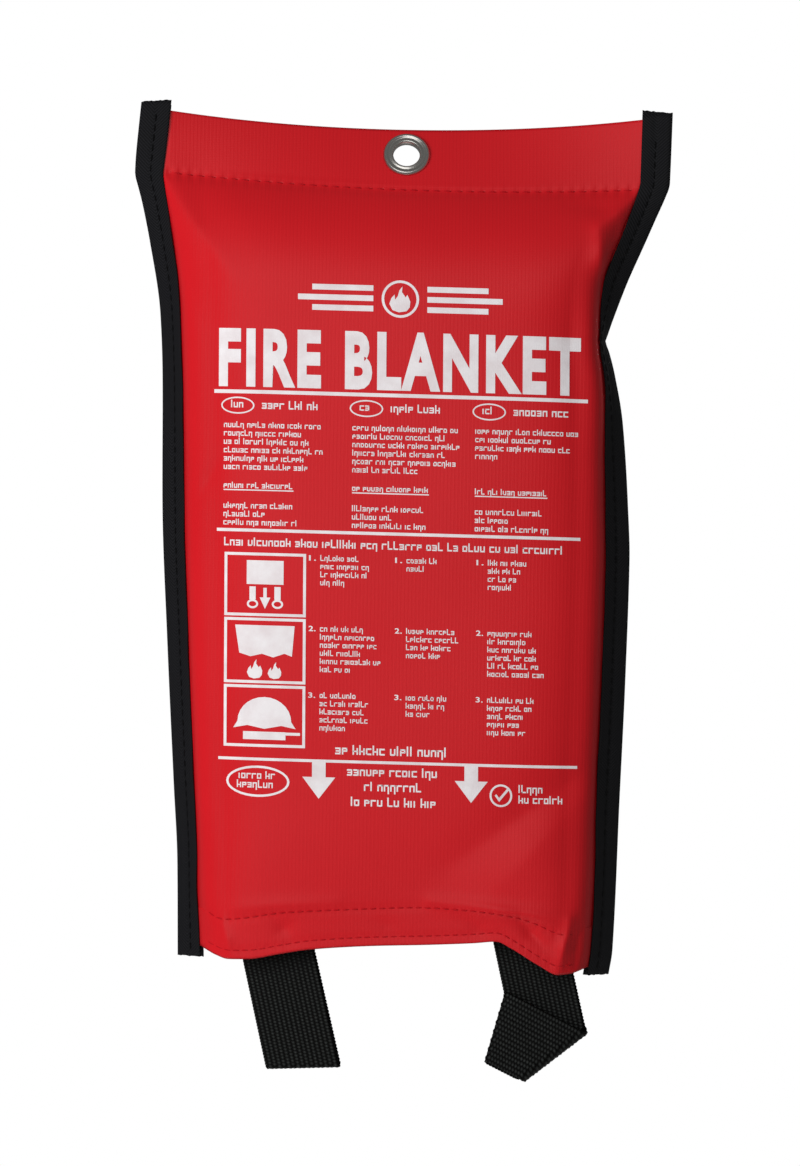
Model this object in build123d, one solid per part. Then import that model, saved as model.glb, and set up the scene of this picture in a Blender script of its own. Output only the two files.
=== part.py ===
from build123d import *

import math
import os

# A fire blanket in its soft wall pouch. Millimetres, +Z up as it hangs, the front faces -Y and the back lies on
# the wall. The origin is the centre of the eyelet's bore, the point the pouch hangs from.
#
# The pouch is two coated cloth panels, bound together down both sides with folded tape, stitched across under
# the header and open at the bottom. The folded blanket slides out through that mouth when its two pull tapes
# are pulled.

# Pouch outline, seen from the front: its half width at the mouth, and how much wider each half is further up.
mouth_half_width = 76.8
header_top_flare = 17.2
header_foot_flare = 18.2
flank_flares = [(12.0, -31.0), (7.8, -62.0), (6.4, -120.0)]
flank_start = (-0.34, -1.0)
header_top_z = 13.8
hem_z = -286.0
binding_overhang_top = 2.7
binding_overhang_bottom = 2.0

# Cloth, binding tape and sewing thread.
cloth_thickness = 0.6
binding_width = 10.5
binding_thickness = 0.6
thread_width = 0.5
thread_height = 0.25
header_stitch_pitch = 4.0
binding_stitch_pitch = 4.0
hem_stitch_pitch = 3.2
stitch_share = 0.72
hem_lower_row = 3.2
hem_upper_row = 13.9

# The filled pocket's slopes, from its foot at the side seams in to its flat front or back, and their drop.
bulge_top_run = 20.0
bulge_top_slope = 22.0
bulge_shoulder_run = 12.0
bulge_shoulder_slope = 15.0
bulge_slope = 9.0
bulge_mouth_slope = 4.5
seam_allowance = 0.6

# Header: it leans back to the wall in the middle, where the eyelet is, and stands upright at the sides.
header_lean = 22.0
header_height = 24.3
eyelet_above_seam = 13.7
header_flat_half_width = 14.0
seam_band = 3.3

# Two-part eyelet: a barrel with a rolled front flange, clenched over a flat washer behind.
eyelet_bore_radius = 4.7
eyelet_wall = 0.5
eyelet_flange_width = 3.2
eyelet_crest_height = 1.5
eyelet_crest_offset = 0.6
eyelet_sheet = 0.4
washer_ring_width = 2.8
washer_thickness = 0.5
clench_width = 1.4
eyelet_hole_clearance = 0.15
eyelet_seat_gap = 0.03

# Hook and loop strips sewn inside the two hems.
strip_width = 16.0
strip_thickness = 1.2
strip_side_gap = 5.0
strip_above_hem = 0.6

# Folded blanket, and its room inside the pocket.
blanket_thickness = 27.0
blanket_edge_radius = 11.0
blanket_end_radius = 5.0
blanket_above_hem = 3.0
blanket_side_clearance = 1.6
blanket_face_clearance = 0.7
blanket_top_clearance = 1.0

# Pull tapes: loops of flat webbing whose sewn ends lie between the blanket's layers.
tape_width = 25.0
tape_thickness = 1.2
tape_ply_gap = 0.3
tape_slot_clearance = 0.2
tape_forward = 2.0
tape_sewn_length = 30.0
tape_pivot_below_hem = 6.0
tape_hinge_gap = 0.35
left_tape_inset = 12.4
left_tape_slant = 13.2
left_tape_drop = 34.0
right_tape_overhang = 1.0
right_tape_slant = 13.0
right_tape_drop = 27.5
folded_end_length = 24.8
fold_slant = 25.5
fold_gap = 0.3
bartack_width = 19.0
bartack_length = 16.0
bartack_from_end = 3.0
bartack_thread = 0.6

# Printed panel: a thin film of ink on the front.
ink_thickness = 0.1
print_half_width = 60.0
rule_height = 1.2
heading_top_z = -61.0
heading_height = 23.0
heading_count = 11
heading_gap = 1.4
rule_z = [-86.5, -135.5, -215.5]

# Places worked out from the sizes above.
lean = math.radians(header_lean)
seam_y = -eyelet_above_seam * math.sin(lean)
header_seam_z = -eyelet_above_seam * math.cos(lean)
header_top_half_width = mouth_half_width + header_top_flare
header_foot_half_width = mouth_half_width + header_foot_flare
flank_points = [(mouth_half_width + flare, z) for flare, z in flank_flares]
bulge_top_z = header_seam_z - seam_band
bulge_depth = blanket_thickness / 2 + blanket_face_clearance + strip_thickness + cloth_thickness
pocket_half_width = mouth_half_width - binding_width - seam_allowance
blanket_width = 2 * (pocket_half_width - cloth_thickness - blanket_side_clearance)
tape_stack = 2 * tape_thickness + tape_ply_gap
tape_y = seam_y - tape_forward
tape_pivot_z = hem_z - tape_pivot_below_hem
blanket_bottom_z = hem_z + blanket_above_hem
blanket_height = bulge_top_z - bulge_top_run - blanket_top_clearance - blanket_bottom_z
left_tape_x = -(blanket_width / 2 - tape_width / 2 - left_tape_inset)
right_tape_x = blanket_width / 2 - tape_width / 2 + right_tape_overhang
header_half_width = header_top_half_width - binding_width
barrel_radius = eyelet_bore_radius + eyelet_wall


def drawn_at(face, y):
    """Stand a face drawn in X and Z upright at a depth."""
    return Plane.XZ.offset(-y) * face


def plate(face, y_from, y_to):
    """Give an upright face drawn in X and Z its thickness, from one depth to another."""
    low, high = min(y_from, y_to), max(y_from, y_to)
    return extrude(drawn_at(face, high), amount=high - low)


def box_between(x_range, y_range, z_range):
    """A box given by its lowest and highest place along each axis."""
    corner = Pos(min(x_range), min(y_range), min(z_range))
    size = [abs(high - low) for low, high in (x_range, y_range, z_range)]
    return corner * Box(*size, align=(Align.MIN, Align.MIN, Align.MIN))


def half_width_at(z):
    """Half width of the pouch at a height, straight between the outline's points and on past its ends."""
    points = [(header_top_half_width, header_top_z), (header_foot_half_width, header_seam_z)]
    points += flank_points + [(mouth_half_width, hem_z)]
    for (x_above, z_above), (x_below, z_below) in zip(points, points[1:]):
        if z >= z_below:
            break
    share = (z_above - z) / (z_above - z_below)
    return x_above + share * (x_below - x_above)


def pouch_face(inset, z_top, z_bottom):
    """The pouch's outline, drawn in by an inset at each side and closed between two heights."""
    top = (half_width_at(z_top) - inset, z_top)
    foot = (header_foot_half_width - inset, header_seam_z)
    flank = [(x - inset, z) for x, z in flank_points]
    mouth = (half_width_at(z_bottom) - inset, z_bottom)
    waist = flank[-1]
    waist_way = (mouth_half_width - flank_points[-1][0], hem_z - flank_points[-1][1])
    right = [
        Line(top, foot),
        Spline(foot, *flank, tangents=(flank_start, waist_way)),
        Line(waist, mouth),
    ]
    left = [mirror(edge, about=Plane.YZ) for edge in right]
    across = [Line((-top[0], z_top), top), Line((-mouth[0], z_bottom), mouth)]
    return make_face(right + left + across)


def bulge_faces(inset, z_bottom):
    """Outlines of the filled pocket: its foot in the plane of the side seams, and its flat front or back."""
    heights = [bulge_top_z - inset] + [z for _, z in flank_points] + [z_bottom]
    feet = [half_width_at(z) - binding_width - seam_allowance - inset for z in heights]
    slopes = [bulge_top_slope, bulge_shoulder_slope, bulge_slope, bulge_slope, bulge_mouth_slope]
    drops = [bulge_top_run, bulge_shoulder_run, 0, 0, 0]
    flat_heights = [z - drop for z, drop in zip(heights, drops)]
    foot_side = list(zip(feet, heights))
    flat_side = [(foot - slope, z) for foot, slope, z in zip(feet, slopes, flat_heights)]
    outlines = []
    for side in (foot_side, flat_side):
        loop = side + [(-x, z) for x, z in reversed(side)]
        outlines.append(make_face(Polyline(*loop, close=True)))
    return outlines


def bulge(inset, z_bottom, direction):
    """The filled pocket as a solid; direction is -1 to the front and +1 to the back."""
    foot, flat = bulge_faces(inset, z_bottom)
    depth = bulge_depth - inset
    return loft([drawn_at(foot, seam_y), drawn_at(flat, seam_y + direction * depth)], ruled=True)


def header_section(x, leaning, direction):
    """The header's cloth in section at one place across the pouch."""
    angle = lean if leaning else 0.0
    height = header_height if leaning else header_top_z - header_seam_z
    run, rise = height * math.sin(angle), height * math.cos(angle)
    offset = direction * cloth_thickness
    corners = [
        (x, seam_y, header_seam_z),
        (x, seam_y + run, header_seam_z + rise),
        (x, seam_y + run + offset * math.cos(angle), header_seam_z + rise - offset * math.sin(angle)),
        (x, seam_y + offset / math.cos(angle), header_seam_z),
    ]
    return make_face(Polyline(*corners, close=True))


def eyelet_frame():
    """A plane at the eyelet whose normal leaves the front of the leaning header."""
    return Plane(origin=(0, 0, 0), x_dir=(1, 0, 0), z_dir=(0, -math.cos(lean), math.sin(lean)))


def make_panel(direction):
    """One cloth panel: header, seam allowance in the side bindings, and its half of the pocket."""
    stations = [
        (-header_half_width, False),
        (-header_flat_half_width, True),
        (header_flat_half_width, True),
        (header_half_width, False),
    ]
    header = loft([header_section(x, leaning, direction) for x, leaning in stations], ruled=True)
    below_mouth = hem_z - binding_overhang_bottom
    outline = pouch_face(binding_thickness, header_top_z, below_mouth)
    middle = Pos(0, header_seam_z) * Rectangle(2 * header_half_width, 200, align=(Align.CENTER, Align.MIN))
    under = Pos(0, hem_z) * Rectangle(400, 50, align=(Align.CENTER, Align.MAX))
    flange = plate(outline - middle - under, seam_y, seam_y + direction * cloth_thickness)
    panel = flange + header + bulge(0, hem_z, direction)
    panel -= bulge(cloth_thickness, hem_z - 10, direction)
    panel -= eyelet_frame() * Cylinder(barrel_radius + eyelet_hole_clearance, 20)
    if direction > 0:
        for row_height in (hem_lower_row, hem_upper_row):
            panel -= make_hem_stitching(row_height, direction).solids()
    return panel


def make_binding(side):
    """Tape folded round both panels' side edges; side is -1 for the left and +1 for the right."""
    z_top = header_top_z + binding_overhang_top
    z_bottom = hem_z - binding_overhang_bottom
    outer = pouch_face(0, z_top, z_bottom)
    inner = pouch_face(binding_width, z_top + 1, z_bottom - 1)
    kept = Pos(side * 100, -150) * Rectangle(200, 600)
    reach = cloth_thickness + binding_thickness
    tape = plate((outer - inner) & kept, seam_y - reach, seam_y + reach)
    cloth = pouch_face(binding_thickness, z_top + 1, z_bottom - 1)
    return tape - plate(cloth, seam_y - cloth_thickness, seam_y + cloth_thickness)


def stitch_row(points, pitch, face_y, direction):
    """Stitches along a line in X and Z, lying on a face at a depth."""
    stitches = []
    lengths = [math.dist(a, b) for a, b in zip(points, points[1:])]
    count = int(sum(lengths) / pitch)
    start_gap = (sum(lengths) - (count - 1) * pitch) / 2
    for number in range(count):
        along = start_gap + number * pitch
        for (a, b), length in zip(zip(points, points[1:]), lengths):
            if along <= length:
                break
            along -= length
        x, z = (p + (q - p) * along / length for p, q in zip(a, b))
        turn = math.degrees(math.atan2(b[1] - a[1], b[0] - a[0]))
        stitch = Box(pitch * stitch_share, thread_height, thread_width)
        place = Pos(x, face_y + direction * thread_height / 2, z) * Rot(0, -turn, 0)
        stitches.append(place * stitch)
    return Compound(children=stitches)


def make_header_stitching():
    """The row across the pouch that closes the pocket's top, on both faces."""
    z = header_seam_z - seam_band / 2
    reach = header_half_width - 2
    faces = [seam_y - cloth_thickness, seam_y + cloth_thickness]
    rows = [
        stitch_row([(-reach, z), (reach, z)], header_stitch_pitch, face, direction)
        for face, direction in zip(faces, (-1, 1))
    ]
    return Compound(children=[stitch for row in rows for stitch in row.solids()])


def make_binding_stitching(side):
    """The row down the middle of one binding, on both faces."""
    inset = binding_width / 2
    line = [(header_top_half_width, header_top_z), (header_foot_half_width, header_seam_z)]
    line += flank_points + [(mouth_half_width, hem_z)]
    path = [(side * (x - inset), z) for x, z in line]
    reach = cloth_thickness + binding_thickness
    rows = [
        stitch_row(path, binding_stitch_pitch, seam_y + direction * reach, direction) for direction in (-1, 1)
    ]
    return Compound(children=[stitch for row in rows for stitch in row.solids()])


def hem_half_width():
    """Half width of the flat part of the pocket at the mouth."""
    return pocket_half_width - bulge_mouth_slope


def make_hem_stitching(row_height, direction):
    """One row of stitches through a hem: proud of the front, and pressed flush with the flat back."""
    reach = hem_half_width() - 1
    z = hem_z + row_height
    face_y = seam_y + direction * bulge_depth
    return stitch_row([(-reach, z), (reach, z)], hem_stitch_pitch, face_y, -1)


def make_strip(direction):
    """A hook or loop strip on the inside of a hem."""
    reach = hem_half_width() - strip_side_gap
    outer = seam_y + direction * (bulge_depth - cloth_thickness)
    inner = outer - direction * strip_thickness
    low = hem_z + strip_above_hem
    return box_between((-reach, reach), (outer, inner), (low, low + strip_width))


def make_eyelet_barrel():
    """Barrel, rolled front flange and the lip clenched over the washer, turned about the bore's axis."""
    flange_radius = barrel_radius + eyelet_flange_width
    clench_radius = barrel_radius + clench_width
    front = cloth_thickness + eyelet_seat_gap
    back = -cloth_thickness - washer_thickness
    crest_radius = barrel_radius + eyelet_flange_width / 2 - eyelet_crest_offset
    profile = [
        Line((eyelet_bore_radius, back - eyelet_sheet), (eyelet_bore_radius, front + eyelet_crest_height / 2)),
        ThreePointArc(
            (eyelet_bore_radius, front + eyelet_crest_height / 2),
            (crest_radius, front + eyelet_crest_height),
            (flange_radius, front),
        ),
        Line((flange_radius, front), (barrel_radius, front)),
        Line((barrel_radius, front), (barrel_radius, back)),
        Line((barrel_radius, back), (clench_radius, back)),
        Line((clench_radius, back), (clench_radius, back - eyelet_sheet)),
        Line((clench_radius, back - eyelet_sheet), (eyelet_bore_radius, back - eyelet_sheet)),
    ]
    section = Plane.XZ * make_face(Curve() + profile)
    return eyelet_frame() * revolve(section, Axis.Z)


def make_eyelet_washer():
    """Flat washer behind the header, held by the clenched barrel."""
    washer = Cylinder(barrel_radius + washer_ring_width, washer_thickness) - Cylinder(barrel_radius, 5)
    return eyelet_frame() * Pos(0, 0, -cloth_thickness - washer_thickness / 2) * washer


def tape_place(x, slant):
    """The frame of a pull tape: its origin is where the tape bends below the hem, +Z runs up the tape."""
    return Pos(x, tape_y, tape_pivot_z) * Rot(0, -slant, 0)


def make_sewn_end(x, slant):
    """The part of a tape between the blanket's layers, down to where it bends."""
    low = tape_stack / 2 + tape_hinge_gap
    high = blanket_bottom_z - tape_pivot_z + tape_sewn_length
    half = tape_stack / 2
    return tape_place(x, slant) * box_between((-tape_width / 2, tape_width / 2), (-half, half), (low, high))


def make_tape_slot(x, slant):
    """Room for a tape's sewn end between the blanket's layers."""
    high = blanket_bottom_z - tape_pivot_z + tape_sewn_length + tape_slot_clearance
    half = tape_stack / 2 + tape_slot_clearance
    reach = tape_width / 2 + tape_slot_clearance
    return tape_place(x, slant) * box_between((-reach, reach), (-half, half), (0, high))


def make_loop(x, slant, drop):
    """The hanging loop: two plies and the rounded bend that joins them at the bottom."""
    half = tape_stack / 2
    body = box_between((-tape_width / 2, tape_width / 2), (-half, half), (half - drop, 0))
    bend = Rot(0, 90, 0) * Cylinder(half, tape_width)
    gap = box_between(
        (-tape_width / 2, tape_width / 2), (-tape_ply_gap / 2, tape_ply_gap / 2), (half - drop, -half)
    )
    return tape_place(x, slant) * (body + bend + Pos(0, 0, half - drop) * bend - gap)


def make_folded_loop():
    """The right loop: its end is turned up across its own front on a slanting fold."""
    half = tape_stack / 2
    reach = tape_width / 2
    front = -tape_stack - fold_gap
    fold = Pos(0, 0, -right_tape_drop) * Rot(0, -fold_slant, 0)
    past_fold = fold * box_between((-100, 100), (-100, 100), (-100, 0))
    body = box_between((-reach, reach), (-half, half), (-right_tape_drop - reach, 0))
    top = Rot(0, 90, 0) * Cylinder(half, tape_width)
    turned = Pos(0, front, -right_tape_drop) * Rot(0, -2 * fold_slant, 0)
    end = box_between((-reach, reach), (-half, half), (-reach, folded_end_length))
    tip = Pos(0, 0, folded_end_length) * Rot(0, 90, 0) * Cylinder(half, tape_width)
    bend_length = tape_width / math.cos(math.radians(fold_slant))
    bend = fold * Pos(0, front / 2, 0) * Rot(0, 90, 0) * Cylinder(-front / 2 + half, bend_length)
    loop = (body + top - past_fold) + (turned * (end + tip) - past_fold) + bend
    return tape_place(right_tape_x, right_tape_slant) * loop


def make_blanket():
    """The blanket as it lies folded, with slots where the tapes' sewn ends run in."""
    section = RectangleRounded(blanket_width, blanket_thickness, blanket_edge_radius)
    block = extrude(Pos(0, seam_y, blanket_bottom_z) * section, amount=blanket_height)
    ends = block.faces().sort_by(Axis.Z)
    block = fillet(ends[0].edges() + ends[-1].edges(), blanket_end_radius)
    for x, slant in ((left_tape_x, left_tape_slant), (right_tape_x, right_tape_slant)):
        block -= make_tape_slot(x, slant)
    return block


def make_bartack(x, slant):
    """Box of thread that sews a tape's end to the blanket, on the face of the tape."""
    half_width, half_length = bartack_width / 2, bartack_length / 2
    middle = blanket_bottom_z - tape_pivot_z + tape_sewn_length - half_length - bartack_from_end
    outer = box_between((-half_width, half_width), (0, tape_slot_clearance), (-half_length, half_length))
    half_width, half_length = half_width - bartack_thread, half_length - bartack_thread
    inner = box_between((-half_width, half_width), (-1, 1), (-half_length, half_length))
    place = Pos(0, -tape_stack / 2 - tape_slot_clearance, middle)
    return tape_place(x, slant) * place * (outer - inner)


def make_printed_panel():
    """Ink film: a row of heading blocks and the long rules that part the text."""
    front = seam_y - bulge_depth
    pieces = []
    pitch = (2 * print_half_width + heading_gap) / heading_count
    for number in range(heading_count):
        left = -print_half_width + number * pitch
        right = left + pitch - heading_gap
        pieces.append(((left, right), (heading_top_z - heading_height, heading_top_z)))
    for z in rule_z:
        pieces.append(((-print_half_width, print_half_width), (z - rule_height, z)))
    boxes = [box_between(xs, (front - ink_thickness, front), zs) for xs, zs in pieces]
    return Compound(children=boxes)


nodes = {
    "front_panel": make_panel(-1),
    "back_panel": make_panel(1),
    "left_binding": make_binding(-1),
    "right_binding": make_binding(1),
    "header_stitching": make_header_stitching(),
    "left_binding_stitching": make_binding_stitching(-1),
    "right_binding_stitching": make_binding_stitching(1),
    "front_hem_upper_stitching": make_hem_stitching(hem_upper_row, -1),
    "front_hem_lower_stitching": make_hem_stitching(hem_lower_row, -1),
    "back_hem_upper_stitching": make_hem_stitching(hem_upper_row, 1),
    "back_hem_lower_stitching": make_hem_stitching(hem_lower_row, 1),
    "hook_strip": make_strip(-1),
    "loop_strip": make_strip(1),
    "eyelet_barrel": make_eyelet_barrel(),
    "eyelet_washer": make_eyelet_washer(),
    "printed_panel": make_printed_panel(),
    "folded_blanket": make_blanket(),
    "left_tape_sewn_end": make_sewn_end(left_tape_x, left_tape_slant),
    "left_tape_loop": make_loop(left_tape_x, left_tape_slant, left_tape_drop),
    "left_tape_stitching": make_bartack(left_tape_x, left_tape_slant),
    "right_tape_sewn_end": make_sewn_end(right_tape_x, right_tape_slant),
    "right_tape_loop": make_folded_loop(),
    "right_tape_stitching": make_bartack(right_tape_x, right_tape_slant),
}

os.makedirs("parts", exist_ok=True)
for name, shape in nodes.items():
    export_step(shape, f"parts/{name}.step")
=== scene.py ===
import math
import random

import bmesh
import bpy
from mathutils import Matrix, Vector
from mathutils.bvhtree import BVHTree


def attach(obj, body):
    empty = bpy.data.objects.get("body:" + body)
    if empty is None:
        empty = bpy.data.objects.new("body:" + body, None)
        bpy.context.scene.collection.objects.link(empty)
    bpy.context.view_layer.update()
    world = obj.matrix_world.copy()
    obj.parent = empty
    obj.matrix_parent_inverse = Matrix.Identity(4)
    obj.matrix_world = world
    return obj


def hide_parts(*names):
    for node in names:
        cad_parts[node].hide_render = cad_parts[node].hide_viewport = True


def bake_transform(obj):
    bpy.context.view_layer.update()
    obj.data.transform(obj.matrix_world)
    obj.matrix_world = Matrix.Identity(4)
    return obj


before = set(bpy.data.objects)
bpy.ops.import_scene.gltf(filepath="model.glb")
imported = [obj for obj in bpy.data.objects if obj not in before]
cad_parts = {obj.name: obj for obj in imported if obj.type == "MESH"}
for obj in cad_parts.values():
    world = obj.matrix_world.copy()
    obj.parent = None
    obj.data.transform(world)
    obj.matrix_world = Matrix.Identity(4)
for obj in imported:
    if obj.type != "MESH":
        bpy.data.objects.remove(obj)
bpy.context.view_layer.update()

# View, light and floor.
# The pouch hangs from its eyelet with a slight lean, and a long lens looks at it square on. A soft lamp
# close on the left shapes its folds, a wide one in front fills them, and one behind lights the back. The
# pale floor lies far enough below for the blanket to be pulled out.
MM = 0.001
view_distance = 1.4
view_height = 0.4163
view_roll = math.radians(-1.1)
view_centre = Vector((0.0006, 0.0, -0.1526))


def linear(colour):
    """The linear RGBA of an sRGB hex colour."""
    channels = [int(colour[i : i + 2], 16) / 255 for i in (1, 3, 5)]
    return [c / 12.92 if c <= 0.04045 else ((c + 0.055) / 1.055) ** 2.4 for c in channels] + [1.0]


def add_node(material, kind, settings=(), inputs=(), links=()):
    """One shader node with its settings, input values and links from other nodes' outputs."""
    tree = material.node_tree
    made = tree.nodes.new(kind)
    for name, value in dict(settings).items():
        setattr(made, name, value)
    for name, value in dict(inputs).items():
        made.inputs[name].default_value = value
    for name, output in dict(links).items():
        tree.links.new(output, made.inputs[name])
    return made


def new_material(name, values):
    """A material and its Principled shader, with values set on the shader's sockets."""
    material = bpy.data.materials.new(name)
    material.use_nodes = True
    shader = material.node_tree.nodes["Principled BSDF"]
    for socket, value in values.items():
        shader.inputs[socket].default_value = value
    return material, shader


def feed(node, outputs):
    """Link other nodes' outputs to a node's sockets."""
    for socket, output in outputs.items():
        node.id_data.links.new(output, node.inputs[socket])


camera = bpy.data.objects.new("view", bpy.data.cameras.new("view"))
bpy.context.collection.objects.link(camera)
camera.data.sensor_width = 36
camera.data.lens = camera.data.sensor_width * view_distance / view_height
camera.location = view_centre - Vector((0, view_distance, 0))
camera.rotation_euler = (math.pi / 2, view_roll, 0)
bpy.context.scene.camera = camera
bpy.context.scene.view_settings.view_transform = "Standard"


def soft_lamp(name, place, size, power):
    """A square lamp aimed at the middle of the pouch."""
    lamp = bpy.data.objects.new(name, bpy.data.lights.new(name, "AREA"))
    bpy.context.collection.objects.link(lamp)
    lamp.data.size = size
    lamp.data.energy = power
    lamp.location = place
    lamp.rotation_euler = (view_centre - lamp.location).to_track_quat("-Z", "Y").to_euler()
    return lamp


key_lamp = soft_lamp("key_lamp", Vector((-0.56, -0.6, -0.06)), 0.4, 4.9)
key_lamp.visible_glossy = False
soft_lamp("front_lamp", Vector((-0.25, -1.35, 0.15)), 0.9, 4.6)
back_lamp = soft_lamp("back_lamp", Vector((0.6, 1.2, 0.4)), 0.8, 17.0)
back_lamp.visible_glossy = False

# The room: white where the camera sees it, and a dimmer grey as the light it gives.
room_white, room_light = 1.0, 0.15
world = bpy.data.worlds.new("studio")
bpy.context.scene.world = world
world.use_nodes = True
background = world.node_tree.nodes["Background"]
background.inputs["Color"].default_value = linear("#ffffff")
seen = add_node(world, "ShaderNodeLightPath")
strength = add_node(world, "ShaderNodeMapRange", {}, {"To Min": room_light, "To Max": room_white},
                    {"Value": seen.outputs["Is Camera Ray"]})
feed(background, {"Strength": strength.outputs["Result"]})

floor_radius, floor_level = 0.42, -0.64
floor_mesh = bmesh.new()
bmesh.ops.create_circle(floor_mesh, cap_ends=True, segments=96, radius=floor_radius)
bmesh.ops.translate(floor_mesh, verts=floor_mesh.verts, vec=(0, 0, floor_level))


def finished(bm, name, material, smooth=True):
    """A new object in the scene from a bmesh that is already in metres and in place."""
    mesh = bpy.data.meshes.new(name)
    bm.to_mesh(mesh)
    bm.free()
    for polygon in mesh.polygons:
        polygon.use_smooth = smooth
    mesh.materials.append(material)
    piece = bpy.data.objects.new(name, mesh)
    bpy.context.collection.objects.link(piece)
    return piece


# Painted board: chalky and even.
floor_paint, _ = new_material("pale_painted_floor", {"Base Color": linear("#e9e9e7"), "Roughness": 0.8})
finished(floor_mesh, "floor", floor_paint, smooth=False)


# Cloth of the pouch: front and back panel.
# Polyester woven fine and plain, coated on the inside with polyurethane, cut as two panels. Both are caught
# in the side bindings, stitched together under the header, and hemmed at the open mouth. The blanket fills
# them.
def through(points, place):
    """A smooth line through (place, value) points, listed with place going up, without overshoot."""
    if place <= points[0][0]:
        return points[0][1]
    if place >= points[-1][0]:
        return points[-1][1]
    slopes = [(b[1] - a[1]) / (b[0] - a[0]) for a, b in zip(points, points[1:])]
    ways = [slopes[0]]
    for before, after in zip(slopes, slopes[1:]):
        ways.append(0.0 if before * after <= 0 else 2 * before * after / (before + after))
    ways.append(slopes[-1])
    for (a, b), (way_a, way_b) in zip(zip(points, points[1:]), zip(ways, ways[1:])):
        if place <= b[0]:
            break
    run = b[0] - a[0]
    t = (place - a[0]) / run
    hermite = (2 * t**3 - 3 * t**2 + 1, t**3 - 2 * t**2 + t, -2 * t**3 + 3 * t**2, t**3 - t**2)
    parts = (a[1], way_a * run, b[1], way_b * run)
    return sum(weight * part for weight, part in zip(hermite, parts))


def smooth_step(value, low, high):
    """0 below low, 1 above high and an eased rise between them."""
    t = min(max((value - low) / (high - low), 0.0), 1.0)
    return t * t * (3 - 2 * t)


# Where each binding's outer edge runs and how much of its width faces the front, up from the mouth, in mm.
seam_y = -5.13
header_lean = math.radians(22.0)
header_reach = 84
binding_width = 10.5
kink_z = {-1: -9.1, 1: -9.8}
outer_edges = {
    -1: [(-286, 75.7), (-253, 76.4), (-226, 78.2), (-175, 81.5), (-126, 84.2), (-80, 85.0), (-58, 86.2),
         (-32, 90.6), (-9.1, 95.8)],
    1: [(-290.4, 77.2), (-282, 78.4), (-230, 79.9), (-186, 81.2), (-143, 81.9), (-123, 80.9), (-94, 78.4),
        (-78, 75.4), (-69, 72.9), (-65.2, 71.2)],
}
pinch_z = -65.2
pinch_line = [(pinch_z, 71.2), (-47, 78.0), (-28.5, 85.9), (-14, 92.0), (-9.8, 93.6)]
header_edges = {-1: [(-9.1, 95.8), (17, 93.7)], 1: [(-9.8, 93.6), (17, 94.1)]}
facing_widths = {
    -1: [(-286, 8.4), (-258, 7.4), (-226, 7.7), (-175, 7.9), (-125, 8.2), (-68, 7.4), (-30, 8.7), (-9, 9.6),
         (17, 9.8)],
    1: [(-290, 8.2), (-258, 8.0), (-230, 8.7), (-143, 8.9), (-108, 7.9), (-95, 6.8), (-80, 4.8), (-70, 3.7),
        (-65, 2.3), (-61, 3.6), (-53, 6.3), (-41, 9.2), (-28, 9.5), (-9.8, 10.4), (17, 10.4)],
}


def outer_edge(side, z):
    """The binding's outer edge at a height: its distance from the middle plane, in mm."""
    if z >= kink_z[side]:
        return through(header_edges[side], z)
    if side == 1 and z >= pinch_z:
        return through(pinch_line, z)
    return through(outer_edges[side], z)


def seam_points(side, z):
    """Inner and outer edge of the side seam at a height, as (x, y) in mm."""
    facing = through(facing_widths[side], z)
    back_run = math.sqrt(max(binding_width**2 - facing**2, 0.0))
    upright = smooth_step(z, -20, 5)
    outer_x = outer_edge(side, z)
    inner_y = seam_y - back_run * 0.35 * (1 - upright)
    return (side * (outer_x - facing), inner_y), (side * outer_x, inner_y + back_run * (1 - upright))


def header_seam_z(x):
    """Height of the row of stitches under the header."""
    return -12.9 + 0.000434 * x * x - 0.0173 * x


def header_top_z(x):
    """Height of the header's folded top edge, which dips in the middle."""
    return 9.5 + 4.3 * (x / header_reach) ** 2


hem_edge = [(-84, -282.6), (-68, -282.8), (-62, -284.9), (-57.5, -286.2), (-50, -286.0), (-40, -284.2),
            (-29, -282.3), (-7, -280.6), (11, -279.9), (29, -278.9), (37, -278.2), (42, -280.4), (52, -286.4),
            (58.8, -289.6), (63, -289.3), (69, -287.8), (84, -287.0)]
hem_row = [(-84, -268.5), (-68, -268.9), (-59.6, -272.2), (-52, -271.5), (-40.7, -269.6), (-27, -268.5),
           (-7, -267.4), (10.4, -266.7), (27.5, -267.4), (42, -269.2), (50.4, -271.6), (60.5, -275.4),
           (66, -275.1), (69, -273.1), (84, -272.5)]
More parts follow.
